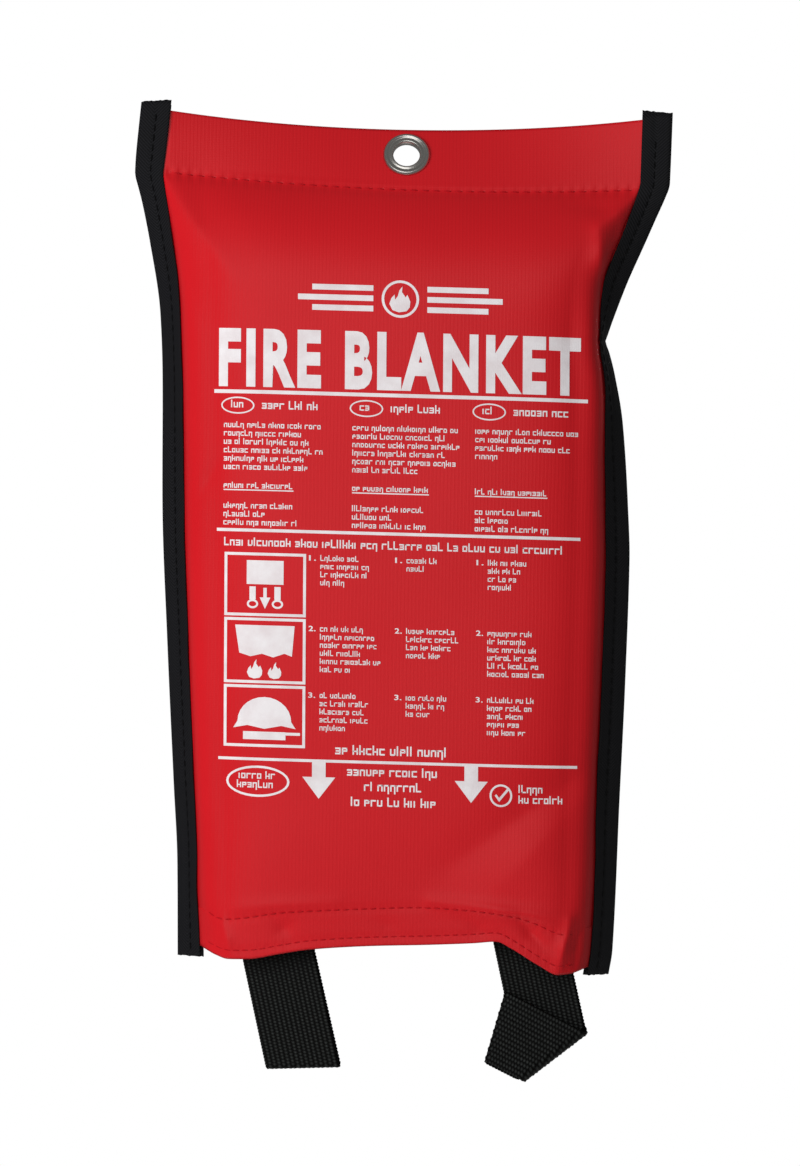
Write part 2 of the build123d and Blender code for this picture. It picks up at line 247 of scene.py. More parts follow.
# Creases in the front: start, end as (x, z), how far the cloth moves out (or in), and the fold's width, in
# mm.
front_creases = [
    ((68.2, -25.3), (71.0, -47.0), 1.6, 3.0),
    ((75.0, -25.0), (73.5, -44.0), -2.0, 3.2),
    ((68.2, -25.3), (82.0, -14.5), 1.3, 2.8),
    ((73.0, -28.0), (83.5, -20.0), -1.4, 2.6),
    ((58.0, -17.5), (80.0, -18.5), -0.7, 3.5),
    ((-84, -14), (-62, -44), 1.1, 5.0),
    ((-80, -30), (-72, -60), -1.0, 5.0),
    ((71, -215), (20, -252), -1.5, 8.0),
    ((66, -228), (34, -262), 1.0, 10.0),
    ((-72, -126), (-63, -108), -0.7, 3.0),
    ((14, -264.6), (62, -269.8), 1.7, 2.4),
    ((-58, -268), (-20, -265.5), 0.7, 2.6),
    ((-59.8, -272.4), (-56.3, -285.4), 1.3, 2.6),
    ((-66.0, -270.0), (-64.5, -283.0), -1.2, 2.6),
    ((-40.2, -272.0), (-35.7, -278.0), -0.9, 3.6),
    ((-8.0, -270.0), (4.0, -277.0), -0.4, 4.0),
    ((27.0, -270.0), (34.0, -277.0), -0.7, 3.6),
    ((45.0, -270.4), (52.9, -279.0), -1.5, 2.8),
    ((62.6, -270.6), (58.6, -289.3), 1.9, 2.3),
    ((66.5, -272.0), (64.5, -287.0), -1.3, 2.2),
]


def crease(x, z, start, end, height, width):
    """How far one crease moves the cloth at a place: most along its line, and easing off at its ends."""
    way = Vector((end[0] - start[0], end[1] - start[1]))
    along = (Vector((x - start[0], z - start[1]))).dot(way) / way.length_squared
    nearest = min(max(along, 0.0), 1.0)
    distance = math.hypot(x - start[0] - nearest * way.x, z - start[1] - nearest * way.y)
    fade = 1 - 0.6 * abs(2 * nearest - 1)
    return height * fade * math.exp(-((distance / width) ** 1.5))


shoulder_run = 44
pocket_fill = 15.6


def pocket_depth(x, z, side_span, direction):
    """How far the filled pocket stands out from the seam at a place, in mm."""
    middle, half = side_span
    across = min(abs(x - middle) / half, 1.0)
    below = max(header_seam_z(x) - z, 0.0)
    rise = 1 - (1 - min(below / shoulder_run, 1.0)) ** 2.4
    # Round-sided above, and squarer towards the mouth, where the blanket's corners are, and at the right
    # shoulder.
    boxy = smooth_step(-z, 225, 284)
    power = 5.5 + 5.5 * boxy
    if x > middle:
        power += 6 * smooth_step(z, -64, -30)
    flatness = 0.5 + 0.22 * boxy
    full = pocket_fill - 1.2 * boxy * (1 - across**2)
    return direction * full * rise * max(1 - across**power, 0.0) ** flatness


def slack(x, z):
    """Low, uneven waves of cloth that is filled but not stretched, in mm."""
    waves = 0.2 * math.sin(x * 0.083 + z * 0.031 + 0.8) * math.sin(z * 0.047 - x * 0.023 + 1.1)
    waves += 0.09 * math.sin(x * 0.051 - z * 0.113 + 2.1) * math.sin(x * 0.037 + 0.4)
    return waves * smooth_step(header_seam_z(x) - z, 0, 12)


def pucker(x, z, row, pitch, depth, width):
    """How far a row of stitches draws the cloth in: a groove along the row, deepest at each stitch's ends."""
    beat = 0.62 + 0.38 * math.cos(2 * math.pi * x / pitch)
    return depth * beat * math.exp(-(((z - row) / width) ** 2))


ply_offset = 0.6
fold_share = 0.93


def base_y(x, z):
    """Depth of the plane that both panels start from: even in the middle, with the seam at either side."""
    (edge_x, edge_y), _ = seam_points(-1 if x < 0 else 1, z)
    return seam_y + (edge_y - seam_y) * smooth_step(abs(x / edge_x), 0.84, 1.0)


def pocket_y(x, z, direction):
    """Depth of a panel's outer face at a place in the pocket, in mm."""
    (left, _), _ = seam_points(-1, z)
    (right, _), _ = seam_points(1, z)
    depth = pocket_depth(x, z, ((left + right) / 2, (right - left) / 2), direction)
    return base_y(x, z) + direction * ply_offset + depth


def panel_point(u, z, direction):
    """A point of a panel: u runs from -1 to 1 between the seams' outer edges, direction -1 is the front."""
    (left_in, _), _ = seam_points(-1, z)
    (right_in, _), _ = seam_points(1, z)
    side = -1 if u < 0 else 1
    span = ((left_in + right_in) / 2, (right_in - left_in) / 2)
    if abs(u) > fold_share:
        share = (abs(u) - fold_share) / (1 - fold_share)
        inner, outer = seam_points(side, z)
        x = inner[0] + share * (outer[0] - inner[0]) * 0.9
        y = inner[1] + share * (outer[1] - inner[1]) * 0.9
        return x, y + direction * ply_offset
    t = abs(u) / fold_share
    t = side * (1 - (1 - t) ** 1.5)
    x = span[0] + span[1] * t
    seam = header_seam_z(x)
    if z < seam:
        return x, pocket_y(x, z, direction)
    lean = math.tan(header_lean) * max(1 - (abs(x) / header_reach) ** 2, 0.0)
    run = (z - header_seam_z(0)) * lean * smooth_step(z, seam - 1, seam + 3)
    return x, base_y(x, z) + run + direction * ply_offset


# Stitch pitches of the three rows, and how far the lower hem row lies above the hem's edge, in mm.
header_pitch, hem_upper_pitch, hem_lower_pitch = 4.0, 3.2, 3.1
hem_rise = 3.2


def make_panel(name, direction, columns, rows, material):
    """A panel from a flat grid: header, pocket, hem and the hem's turned-in allowance, top to bottom."""
    bm = bmesh.new()
    bmesh.ops.create_grid(bm, x_segments=columns, y_segments=rows, size=1.0)
    header_share, hem_share, edge_share = 0.1, 0.87, 0.93
    for vert in bm.verts:
        u, v = vert.co.x, (1 - vert.co.y) / 2
        x = u * 85
        inward = 0.0
        for _ in range(3):
            top, seam = header_top_z(x), header_seam_z(x)
            row, low = through(hem_row, x), through(hem_edge, x)
            if v < header_share:
                z = top + (seam - top) * v / header_share
            elif v < hem_share:
                z = seam + (row - seam) * (v - header_share) / (hem_share - header_share)
            elif v < edge_share:
                z = row + (low - row) * (v - hem_share) / (edge_share - hem_share)
            else:
                share = (v - edge_share) / (1 - edge_share)
                z = low + (row - low) * share
                inward = 0.9 * smooth_step(share, 0, 0.06)
            x, y = panel_point(u, z, direction)
        if direction < 0:
            y -= sum(crease(x, z, *fold) for fold in front_creases)
        y += direction * slack(x * direction, z)
        if inward == 0.0:
            y -= direction * pucker(x, z, header_seam_z(x), header_pitch, 0.55, 1.7)
            y -= direction * pucker(x, z, through(hem_row, x), hem_upper_pitch, 0.3, 1.3)
            y -= direction * pucker(x, z, through(hem_edge, x) + hem_rise, hem_lower_pitch, 0.25, 1.3)
        vert.co = Vector((x, y - direction * inward, z)) * MM
    return finished(bm, name, material)


def band_scale(pitch):
    """Scale of a wave texture whose bands repeat at a pitch in mm; at scale 1 they repeat at 0.314 m."""
    return 0.314 / pitch / MM


def plain_weave(material, place, pitch, distortion):
    """Threads of one pitch in mm, across and up, crossing over each other."""
    across, up = (
        add_node(material, "ShaderNodeTexWave", {"wave_type": "BANDS", "bands_direction": way},
                 {"Scale": band_scale(pitch), "Distortion": distortion, "Detail": 1.0},
                 {"Vector": place.outputs["Object"]})
        for way in ("X", "Z")
    )
    return add_node(material, "ShaderNodeMath", {"operation": "MULTIPLY"}, {},
                    {0: across.outputs["Fac"], 1: up.outputs["Fac"]})


# Coated polyester: a fine plain weave with a soft satin face, its colour a touch uneven where the coating is
# thicker. The weave and its ribs are drawn coarser than the real 0.3 mm threads, so that they show.
weave_pitch, rib_pitch = 0.62, 1.3
coated_cloth, shader = new_material("coated_polyester_red", {"Roughness": 0.46, "Specular IOR Level": 0.3})
place = add_node(coated_cloth, "ShaderNodeTexCoord")
weave = plain_weave(coated_cloth, place, weave_pitch, 0.25)
rib = add_node(coated_cloth, "ShaderNodeTexWave", {"wave_type": "BANDS", "bands_direction": "X"},
               {"Scale": band_scale(rib_pitch), "Distortion": 2.0, "Detail": 2.0, "Detail Scale": 0.2},
               {"Vector": place.outputs["Object"]})
heights = add_node(coated_cloth, "ShaderNodeMath", {"operation": "ADD"}, {},
                   {0: weave.outputs["Value"], 1: rib.outputs["Fac"]})
bump = add_node(coated_cloth, "ShaderNodeBump", {}, {"Strength": 0.12, "Distance": 0.0002},
                {"Height": heights.outputs["Value"]})
cloud = add_node(coated_cloth, "ShaderNodeTexNoise", {}, {"Scale": 18.0, "Detail": 3.0},
                 {"Vector": place.outputs["Object"]})
tone = add_node(coated_cloth, "ShaderNodeMix", {"data_type": "RGBA"},
                {"A": linear("#c8131c"), "B": linear("#d21922")}, {"Factor": cloud.outputs["Fac"]})
feed(shader, {"Base Color": tone.outputs["Result"], "Normal": bump.outputs["Normal"]})


def thicken(piece, thickness, offset=0):
    """Give a sheet its thickness in mm: half to each side, or with an offset of -1 all of it behind."""
    ply = piece.modifiers.new("ply", "SOLIDIFY")
    ply.thickness = thickness * MM
    ply.offset = offset


# The hole for the eyelet is round on the leaning header, so it is lower than wide as it is cut here.
cloth_thickness = 0.45
eyelet_cut, eyelet_cut_height = 6.4, 0.93
panels = {}
for name, direction, columns, rows in (("front_cloth", -1, 170, 244), ("back_cloth", 1, 120, 200)):
    panel = make_panel(name, direction, columns, rows, coated_cloth)
    bm = bmesh.new()
    bm.from_mesh(panel.data)
    middles = [(face, face.calc_center_median()) for face in bm.faces]
    holed = [face for face, at in middles if math.hypot(at.x, at.z / eyelet_cut_height) < eyelet_cut * MM]
    bmesh.ops.delete(bm, geom=holed, context="FACES")
    bmesh.ops.recalc_face_normals(bm, faces=bm.faces)
    if sum(f.normal.y * f.calc_area() for f in bm.faces) * direction < 0:
        bmesh.ops.reverse_faces(bm, faces=bm.faces)
    bm.to_mesh(panel.data)
    bm.free()
    thicken(panel, cloth_thickness, -1)
    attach(panel, "pouch")
    panels[direction] = panel
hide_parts("front_panel")
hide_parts("back_panel")


# Folded blanket.
# One square of woven glass cloth, 1.2 m each way. It is pleated ten times across into a strip 120 mm wide,
# and the strip is folded in five runs that stand on end in the pouch. The tapes run in between its second
# and third.
pleat_count, pleat_pitch, pleat_reach = 10, 0.48, 59.4
run_places = [-16.1, -11.1, -3.35, 1.33, 6.0]
blanket_low, blanket_high = -277.2, -37.2
glass_thickness = 0.3
# The gap for the tapes in depth, how far it closes above them, and the heights where that starts and ends.
tape_gap, gap_closing, gap_shuts = (-8.7, -5.75), 2.4, (-246, -230)
blanket_draw = random.Random(11)


def pleat_section():
    """The strip in section: (x, s) points of one cloth pleated to and fro, s across the strip's thickness."""
    reaches = [pleat_reach + blanket_draw.uniform(-1.3, 0.9) for _ in range(pleat_count + 1)]
    points = []
    for pleat in range(pleat_count):
        way = 1 if pleat % 2 == 0 else -1
        s = (pleat - (pleat_count - 1) / 2) * pleat_pitch
        for share in (-1, -0.92, -0.75, -0.4, 0, 0.4, 0.75, 0.92, 1):
            reach = reaches[pleat + 1] if share > 0 else reaches[pleat]
            points.append((way * share * reach, s))
        if pleat < pleat_count - 1:
            points.append((way * (reaches[pleat + 1] + pleat_pitch / 2), s + pleat_pitch / 2))
    return points


def run_path():
    """The strip's path, down one run and up the next: y, z and the way its thickness points."""
    half = pleat_pitch * pleat_count / 2
    path = []
    for number, y in enumerate(run_places):
        down = number % 2 == 0
        ends = []
        for top in (True, False):
            neighbour = number + (-1 if top == down else 1)
            radius = half
            if 0 <= neighbour < len(run_places):
                radius = abs(run_places[neighbour] - y) / 2
            limit = blanket_high - radius - half if top else blanket_low + radius + half
            ends.append(limit + blanket_draw.uniform(-1.2, 0) * (1 if top else -1))
        start, stop = ends if down else ends[::-1]
        if path:
            start = turned_at
        turned_at = stop
        normal = (1.0, 0.0) if down else (-1.0, 0.0)
        for step in range(25):
            path.append((y, start + (stop - start) * step / 24, normal))
        if number < len(run_places) - 1:
            radius = (run_places[number + 1] - y) / 2
            for step in range(1, 8):
                turn = math.pi * step / 8
                sink = -1 if down else 1
                place = (y + radius - radius * math.cos(turn), stop + sink * radius * math.sin(turn))
                normal = (-sink * math.cos(turn), math.sin(turn))
                path.append((*place, normal))
    return path


section, path = pleat_section(), run_path()
bm = bmesh.new()
bmesh.ops.create_grid(bm, x_segments=len(section) - 1, y_segments=len(path) - 1, size=1.0)
for vert in bm.verts:
    x, s = section[round((vert.co.x + 1) / 2 * (len(section) - 1))]
    y, z, (normal_y, normal_z) = path[round((vert.co.y + 1) / 2 * (len(path) - 1))]
    y, z = y + normal_y * s, z + normal_z * s
    across_gap = min(max((y - tape_gap[0]) / (tape_gap[1] - tape_gap[0]), 0), 1)
    y += gap_closing * smooth_step(z, *gap_shuts) * (0.5 - across_gap)
    # The pocket presses the stack thinner at its sides, at the mouth and at the top, and the layers lie
    # uneven.
    squeeze = 1 - 0.36 * smooth_step(abs(x), 46, 62) - 0.16 * smooth_step(-z, 258, 280)
    squeeze *= 1 - 0.2 * smooth_step(z, -75, -40)
    y = seam_y + (y - seam_y) * squeeze
    y += 0.12 * math.sin(x * 0.21 + z * 0.045) + 0.08 * math.sin(z * 0.19 + s * 2)
    vert.co = Vector((x, y, z)) * MM

# Woven glass cloth: off-white, with a plain weave whose filaments give it a faint sheen. The threads, really
# about 0.5 mm apart, are drawn coarser so that they show.
glass_weave_pitch = 1.1
glass_cloth, shader = new_material("woven_glass_cloth", {"Roughness": 0.62, "Sheen Weight": 0.2})
place = add_node(glass_cloth, "ShaderNodeTexCoord")
weave = plain_weave(glass_cloth, place, glass_weave_pitch, 0.4)
tone = add_node(glass_cloth, "ShaderNodeMix", {"data_type": "RGBA"},
                {"A": linear("#c9c5b8"), "B": linear("#e8e6dc")}, {"Factor": weave.outputs["Value"]})
bump = add_node(glass_cloth, "ShaderNodeBump", {}, {"Strength": 0.35, "Distance": 0.0002},
                {"Height": weave.outputs["Value"]})
feed(shader, {"Base Color": tone.outputs["Result"], "Normal": bump.outputs["Normal"]})

blanket = finished(bm, "folded_glass_blanket", glass_cloth)
thicken(blanket, glass_thickness)
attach(blanket, "blanket")
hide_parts("folded_blanket")


# Side bindings.
# A polyester twill tape 21 mm wide, folded over the raw side edges of both panels and stitched down its
# middle. Its ends are cut and left raw, a little past the cloth at the top and at the mouth.
binding_ends = {-1: (-286.6, 16.7), 1: (-290.5, 16.4)}
binding_lift, binding_thickness = 1.0, 0.5
binding_draw = random.Random(5)


def binding_frame(side, z):
    """The seam's inner edge, its way across to the outer edge and its front-facing normal, in X and Y."""
    (inner_x, inner_y), (outer_x, outer_y) = seam_points(side, z)
    width = math.hypot(outer_x - inner_x, outer_y - inner_y)
    across = ((outer_x - inner_x) / width, (outer_y - inner_y) / width)
    normal = (across[1], -across[0]) if side > 0 else (-across[1], across[0])
    return (inner_x, inner_y), across, normal


def binding_point(side, z, along):
    """A point of the binding's middle surface; along runs from -1 at the front edge to +1 at the back."""
    (inner_x, inner_y), across, normal = binding_frame(side, z)
    bend = binding_lift * math.pi / 2
    leaf = binding_width - binding_lift
    path = abs(along) * (leaf + bend) - bend
    front = -1 if along > 0 else 1
    if path >= 0:
        run, lift = leaf - path, binding_lift
    else:
        turn = -path / binding_lift
        run, lift = leaf + binding_lift * math.sin(turn), binding_lift * math.cos(turn)
    pucker = 0.16 * math.sin(z * 2 * math.pi / 7.0) * math.exp(-(((run - leaf / 2) / 2.6) ** 2))
    pucker += 0.22 * math.sin(z * 0.23 + side) * math.sin(z * 0.071 + 1.3) * smooth_step(leaf - run, 0, leaf)
    lift += pucker - 0.3 * math.exp(-(((run - leaf / 2) / 0.9) ** 2))
    lift *= front
    return inner_x + across[0] * run + normal[0] * lift, inner_y + across[1] * run + normal[1] * lift


# Polyester twill tape: matt black, woven in a herringbone whose ribs slant away from the middle on both
# leaves.
twill_pitch = 1.15
twill_tape, shader = new_material("polyester_twill_tape_black", {"Roughness": 0.66, "Specular IOR Level": 0.22})
place = add_node(twill_tape, "ShaderNodeUVMap", {"uv_map": "tape"})
split = add_node(twill_tape, "ShaderNodeSeparateXYZ", {}, {}, {"Vector": place.outputs["UV"]})
fold = add_node(twill_tape, "ShaderNodeMath", {"operation": "PINGPONG"}, {1: binding_width / 2},
                {0: split.outputs["X"]})
slant = add_node(twill_tape, "ShaderNodeMath", {"operation": "ADD"}, {},
                 {0: fold.outputs["Value"], 1: split.outputs["Y"]})
phase = add_node(twill_tape, "ShaderNodeMath", {"operation": "MULTIPLY"}, {1: 2 * math.pi / twill_pitch},
                 {0: slant.outputs["Value"]})
rib = add_node(twill_tape, "ShaderNodeMath", {"operation": "SINE"}, {}, {0: phase.outputs["Value"]})
level = add_node(twill_tape, "ShaderNodeMapRange", {}, {"From Min": -1.0}, {"Value": rib.outputs["Value"]})
tone = add_node(twill_tape, "ShaderNodeMix", {"data_type": "RGBA"},
                {"A": linear("#0d0d0f"), "B": linear("#1c1c1f")}, {"Factor": level.outputs["Result"]})
bump = add_node(twill_tape, "ShaderNodeBump", {}, {"Strength": 0.5, "Distance": 0.0003},
                {"Height": level.outputs["Result"]})
feed(shader, {"Base Color": tone.outputs["Result"], "Normal": bump.outputs["Normal"]})

binding_columns, binding_rows = 28, 170
bindings = {}
for side, name in ((-1, "left"), (1, "right")):
    bm = bmesh.new()
    bmesh.ops.create_grid(bm, x_segments=binding_columns, y_segments=binding_rows, size=1.0)
    tape_uv = bm.loops.layers.uv.new("tape")
    low, high = binding_ends[side]
    for face in bm.faces:
        for loop in face.loops:
            loop[tape_uv].uv = ((loop.vert.co.x + 1) * binding_width, (loop.vert.co.y + 1) / 2 * (high - low))
    frays = [binding_draw.uniform(-0.16, 0.16) for _ in range(2 * binding_columns + 2)]
    for vert in bm.verts:
        share = (vert.co.y + 1) / 2
        z = low + (high - low) * share
        if share < 0.001 or share > 0.999:
            column = round((vert.co.x + 1) / 2 * binding_columns)
            z += frays[column + (binding_columns if share > 0.5 else 0)]
        z += 0.9 * vert.co.x * side * smooth_step(share, 0.97, 1)
        x, y = binding_point(side, z, vert.co.x)
        vert.co = Vector((x, y, z)) * MM
    bmesh.ops.recalc_face_normals(bm, faces=bm.faces)
    binding = finished(bm, name + "_twill_binding", twill_tape)
    thicken(binding, binding_thickness)
    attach(binding, "pouch")
    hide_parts(name + "_binding")
    bindings[side] = binding


# Stitching.
# Rows of lockstitch in bonded polyester thread: red across the header and along the hems, black down the
# bindings. Each visible stitch is a short strand that dips into the cloth at both ends.
thread_radius, hem_thread_radius = 0.3, 0.26
stitch_reach = (0.1, 0.84)


def stitch_shape(bm, start, end, normal, radius):
    """One strand from start to end, lying on a face with the given normal; all in mm."""
    middle, way = (start + end) / 2, end - start
    length = way.length
    side = normal.cross(way).normalized()
    up = way.cross(side).normalized()
    turn = Matrix((way.normalized(), side, up)).transposed().to_4x4()
    size = Matrix.Diagonal((length / 2, radius, radius, 1))
    place = Matrix.Diagonal((MM, MM, MM, 1)) @ Matrix.Translation(middle) @ turn @ size
    bmesh.ops.create_uvsphere(bm, u_segments=6, v_segments=5, radius=1.0,
                              matrix=place @ Matrix.Rotation(math.pi / 2, 4, "Y"))


def surface_tree(piece):
    """A search tree of a piece's finished surface, modifiers included."""
    graph = bpy.context.evaluated_depsgraph_get()
    graph.update()
    return BVHTree.FromObject(piece, graph)


def on_surface(tree, x, z, direction):
    """Where a line along Y from outside first meets a surface, with its normal; x and z in mm."""
    start = Vector((x * MM, direction * 0.1, z * MM))
    hit, normal, _, _ = tree.ray_cast(start, Vector((0, -direction, 0)))
    return (hit / MM, normal) if hit is not None else (None, None)


def stitch_row(name, lines, pitch, radius, material, replaced):
    """Rows of stitches along (tree, direction, points) lines, as one piece."""
    bm = bmesh.new()
    for tree, direction, points in lines:
        lengths = [0.0]
        for a, b in zip(points, points[1:]):
            lengths.append(lengths[-1] + math.dist(a, b))
        track = [[(length, point[axis]) for length, point in zip(lengths, points)] for axis in (0, 1)]
        for number in range(int(lengths[-1] / pitch)):
            ends = []
            for share in stitch_reach:
                x, z = (through(axis, (number + share) * pitch) for axis in track)
                place, normal = on_surface(tree, x, z, direction)
                if place is not None:
                    ends.append((place, normal))
            if len(ends) == 2 and (ends[0][0] - ends[1][0]).length < pitch * 1.3:
                normal = (ends[0][1] + ends[1][1]).normalized()
                sink = normal * radius * 0.15
                stitch_shape(bm, ends[0][0] + sink, ends[1][0] + sink, normal, radius)
    bmesh.ops.recalc_face_normals(bm, faces=bm.faces)
    row = finished(bm, name, material)
    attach(row, "pouch")
    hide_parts(*replaced)
    return row


def thread_material(name, colour):
    """Bonded polyester thread: two plies twisted together, which show as a ridge every half millimetre."""
    material, shader = new_material(
        name, {"Base Color": linear(colour), "Roughness": 0.55, "Specular IOR Level": 0.15})
    place = add_node(material, "ShaderNodeTexCoord")
    ply = add_node(material, "ShaderNodeTexWave", {"wave_type": "BANDS", "bands_direction": "DIAGONAL"},
                   {"Scale": band_scale(0.5), "Distortion": 0.3}, {"Vector": place.outputs["Object"]})
    bump = add_node(material, "ShaderNodeBump", {}, {"Strength": 0.4, "Distance": 0.0001},
                    {"Height": ply.outputs["Fac"]})
    feed(shader, {"Normal": bump.outputs["Normal"]})
    return material


red_thread = thread_material("bonded_thread_red", "#b8141e")
black_thread = thread_material("bonded_thread_black", "#060607")
front_tree, back_tree = surface_tree(panels[-1]), surface_tree(panels[1])
header_line = [(x, header_seam_z(x)) for x in range(-83, 84, 2)]
header_lines = [(front_tree, -1, header_line), (back_tree, 1, header_line)]
stitch_row("header_row", header_lines, header_pitch, thread_radius, red_thread,
           ["header_stitching"])
for tree, way, label in ((front_tree, -1, "front"), (back_tree, 1, "back")):
    upper = [(x, through(hem_row, x)) for x in range(-65, 67, 2)]
    lower = [(x, through(hem_edge, x) + hem_rise) for x in range(-65, 67, 2)]
    for level, line, pitch in (("upper", upper, hem_upper_pitch), ("lower", lower, hem_lower_pitch)):
        stitch_row(f"{label}_hem_{level}_row", [(tree, way, line)], pitch, hem_thread_radius, red_thread,
                   [f"{label}_hem_{level}_stitching"])
binding_pitch, binding_row_share, binding_row_steps = 3.6, 0.47, 150
for side, label in ((-1, "left"), (1, "right")):
    tree = surface_tree(bindings[side])
    lines = []
    for way in (-1, 1):
        line = []
        for step in range(binding_row_steps):
            z = binding_ends[side][0] + 2 + step * 2
            (inner_x, _), across, _ = binding_frame(side, z)
            line.append((inner_x + across[0] * binding_width * binding_row_share, z))
        lines.append((tree, way, line))
    stitch_row(label + "_binding_row", lines, binding_pitch, thread_radius, black_thread,
               [label + "_binding_stitching"])


# Hook and loop strips.
# Two woven nylon strips 15.5 mm wide, sewn inside the front and back hems, that keep the mouth shut: hooks in
# front, loops behind.
strip_reach, strip_width, strip_thickness = 59.0, 15.5, 0.5
strip_rise, strip_depth, knob_height = 0.9, 1.6, 0.35
strip_columns, strip_rows = 84, 12


def strip_material(name, colour):
    """Nylon hook or loop strip: matt black, its pile too fine to see but as a rough grain."""
    material, shader = new_material(name, {"Base Color": linear(colour), "Roughness": 0.85})
    place = add_node(material, "ShaderNodeTexCoord")
    pile = add_node(material, "ShaderNodeTexNoise", {}, {"Scale": 1400.0, "Detail": 2.0},
                    {"Vector": place.outputs["Object"]})
    bump = add_node(material, "ShaderNodeBump", {}, {"Strength": 0.8, "Distance": 0.0004},
                    {"Height": pile.outputs["Fac"]})
    feed(shader, {"Normal": bump.outputs["Normal"]})
    return material


for name, direction, colour, replaced in (
    ("hooks", -1, "#1b1b1d", "hook_strip"),
    ("loops", 1, "#232326", "loop_strip"),
):
    bm = bmesh.new()
    bmesh.ops.create_grid(bm, x_segments=strip_columns, y_segments=strip_rows, size=1.0)
    for vert in bm.verts:
        column, row = round((vert.co.x + 1) / 2 * strip_columns), round((vert.co.y + 1) / 2 * strip_rows)
        x = vert.co.x * strip_reach
        z = through(hem_edge, x) + strip_rise + (vert.co.y + 1) / 2 * strip_width
        place = Vector((x, pocket_y(x, z, direction) - direction * strip_depth, z))
        knob = knob_height if (column + row) % 2 else 0.0
        vert.co = (place - Vector((0, direction * knob, 0))) * MM
    bmesh.ops.recalc_face_normals(bm, faces=bm.faces)
    strip = finished(bm, name + "_strip", strip_material("nylon_" + name, colour))
    thicken(strip, strip_thickness)
    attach(strip, "pouch")
    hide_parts(replaced)


# Eyelet.
# Pressed from nickel-plated steel: a barrel with a rolled flange in front, its lip clenched over a flat
# washer at the back of the header. It leans back with the header.
eyelet_turn = Matrix.Rotation(math.pi / 2 - header_lean, 4, "X")
barrel_outline = [(4.7, -1.5), (4.7, 0.7), (4.78, 1.25), (5.1, 1.6), (5.5, 1.66), (5.9, 1.46), (6.3, 1.3),
                  (6.7, 1.46), (7.2, 1.84), (7.7, 1.74), (8.2, 1.2), (8.4, 0.75), (8.38, 0.55), (8.1, 0.62),
                  (7.2, 0.8), (5.6, 0.7), (5.2, 0.3), (5.2, -1.05), (6.4, -1.1), (6.75, -1.2), (6.6, -1.5),
                  (5.6, -1.62)]
washer_outline = [(5.25, -0.55), (7.85, -0.5), (8.0, -0.62), (8.0, -0.9), (7.85, -1.03), (5.25, -1.0)]

# Nickel plate on pressed steel: bright and warm-white, a little soft from tumbling, with fine scuffs.
nickel, shader = new_material("nickel_plated_steel", {"Base Color": linear("#cfccc6"), "Metallic": 1.0})
place = add_node(nickel, "ShaderNodeTexCoord")
scuffs = add_node(nickel, "ShaderNodeTexNoise", {}, {"Scale": 900.0, "Detail": 3.0},
                  {"Vector": place.outputs["Object"]})
gloss = add_node(nickel, "ShaderNodeMapRange", {}, {"To Min": 0.2, "To Max": 0.38},
                 {"Value": scuffs.outputs["Fac"]})
bump = add_node(nickel, "ShaderNodeBump", {}, {"Strength": 0.03, "Distance": 0.0001},
                {"Height": scuffs.outputs["Fac"]})
feed(shader, {"Roughness": gloss.outputs["Result"], "Normal": bump.outputs["Normal"]})

for name, outline, replaced in (
    ("eyelet_flange", barrel_outline, "eyelet_barrel"),
    ("eyelet_back_washer", washer_outline, "eyelet_washer"),
):
    bm = bmesh.new()
    ring = [bm.verts.new((radius * MM, 0, height * MM)) for radius, height in outline]
    edges = [bm.edges.new(pair) for pair in zip(ring, ring[1:] + ring[:1])]
    bmesh.ops.spin(bm, geom=ring + edges, cent=(0, 0, 0), axis=(0, 0, 1), dvec=(0, 0, 0), angle=2 * math.pi,
                   steps=72, use_merge=True, use_duplicate=False)
    bmesh.ops.remove_doubles(bm, verts=bm.verts, dist=1e-6)
    bmesh.ops.recalc_face_normals(bm, faces=bm.faces)
    bmesh.ops.transform(bm, matrix=eyelet_turn, verts=bm.verts)
    ring_piece = finished(bm, name, nickel)
    smooth = ring_piece.modifiers.new("rolled", "SUBSURF")
    smooth.levels = smooth.render_levels = 1
    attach(ring_piece, "pouch")
    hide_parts(replaced)


# Printed panel.
# White screen ink, a few hundredths of a millimetre thick, which follows the front cloth and its folds: a
# heading, three columns, the steps of use with three pictures, and arrows down to the two tapes. The fine
# print is rows of plain strokes that aren't letters.
print_centre = (-0.9, -74.4)
print_tilt = math.radians(0.5)
print_shear = 0.022
ink_lift, ink_thickness = 0.1, 0.06
ink_draw = random.Random(23)
ink = bmesh.new()


def ink_shape(points):
    """A filled outline in the print's own millimetres: across from its middle, and up from its heading."""
    ink.faces.new([ink.verts.new((across, 0, up)) for across, up in points])


def ink_bar(left, right, low, high):
    """A filled rectangle."""
    ink_shape([(left, low), (right, low), (right, high), (left, high)])


def ink_frame(left, right, low, high, line):
    """The outline of a rectangle."""
    ink_bar(left, right, low, low + line)
    ink_bar(left, right, high - line, high)
    ink_bar(left, left + line, low + line, high - line)
    ink_bar(right - line, right, low + line, high - line)


def ink_ring(across, up, half_width, half_height, line):
    """The outline of an oval."""
    turns = [2 * math.pi * step / 32 for step in range(33)]
    for a, b in zip(turns, turns[1:]):
        ink_shape([
            (across + (half_width - inset) * math.cos(turn), up + (half_height - inset) * math.sin(turn))
            for turn, inset in ((a, 0), (b, 0), (b, line), (a, line))
        ])


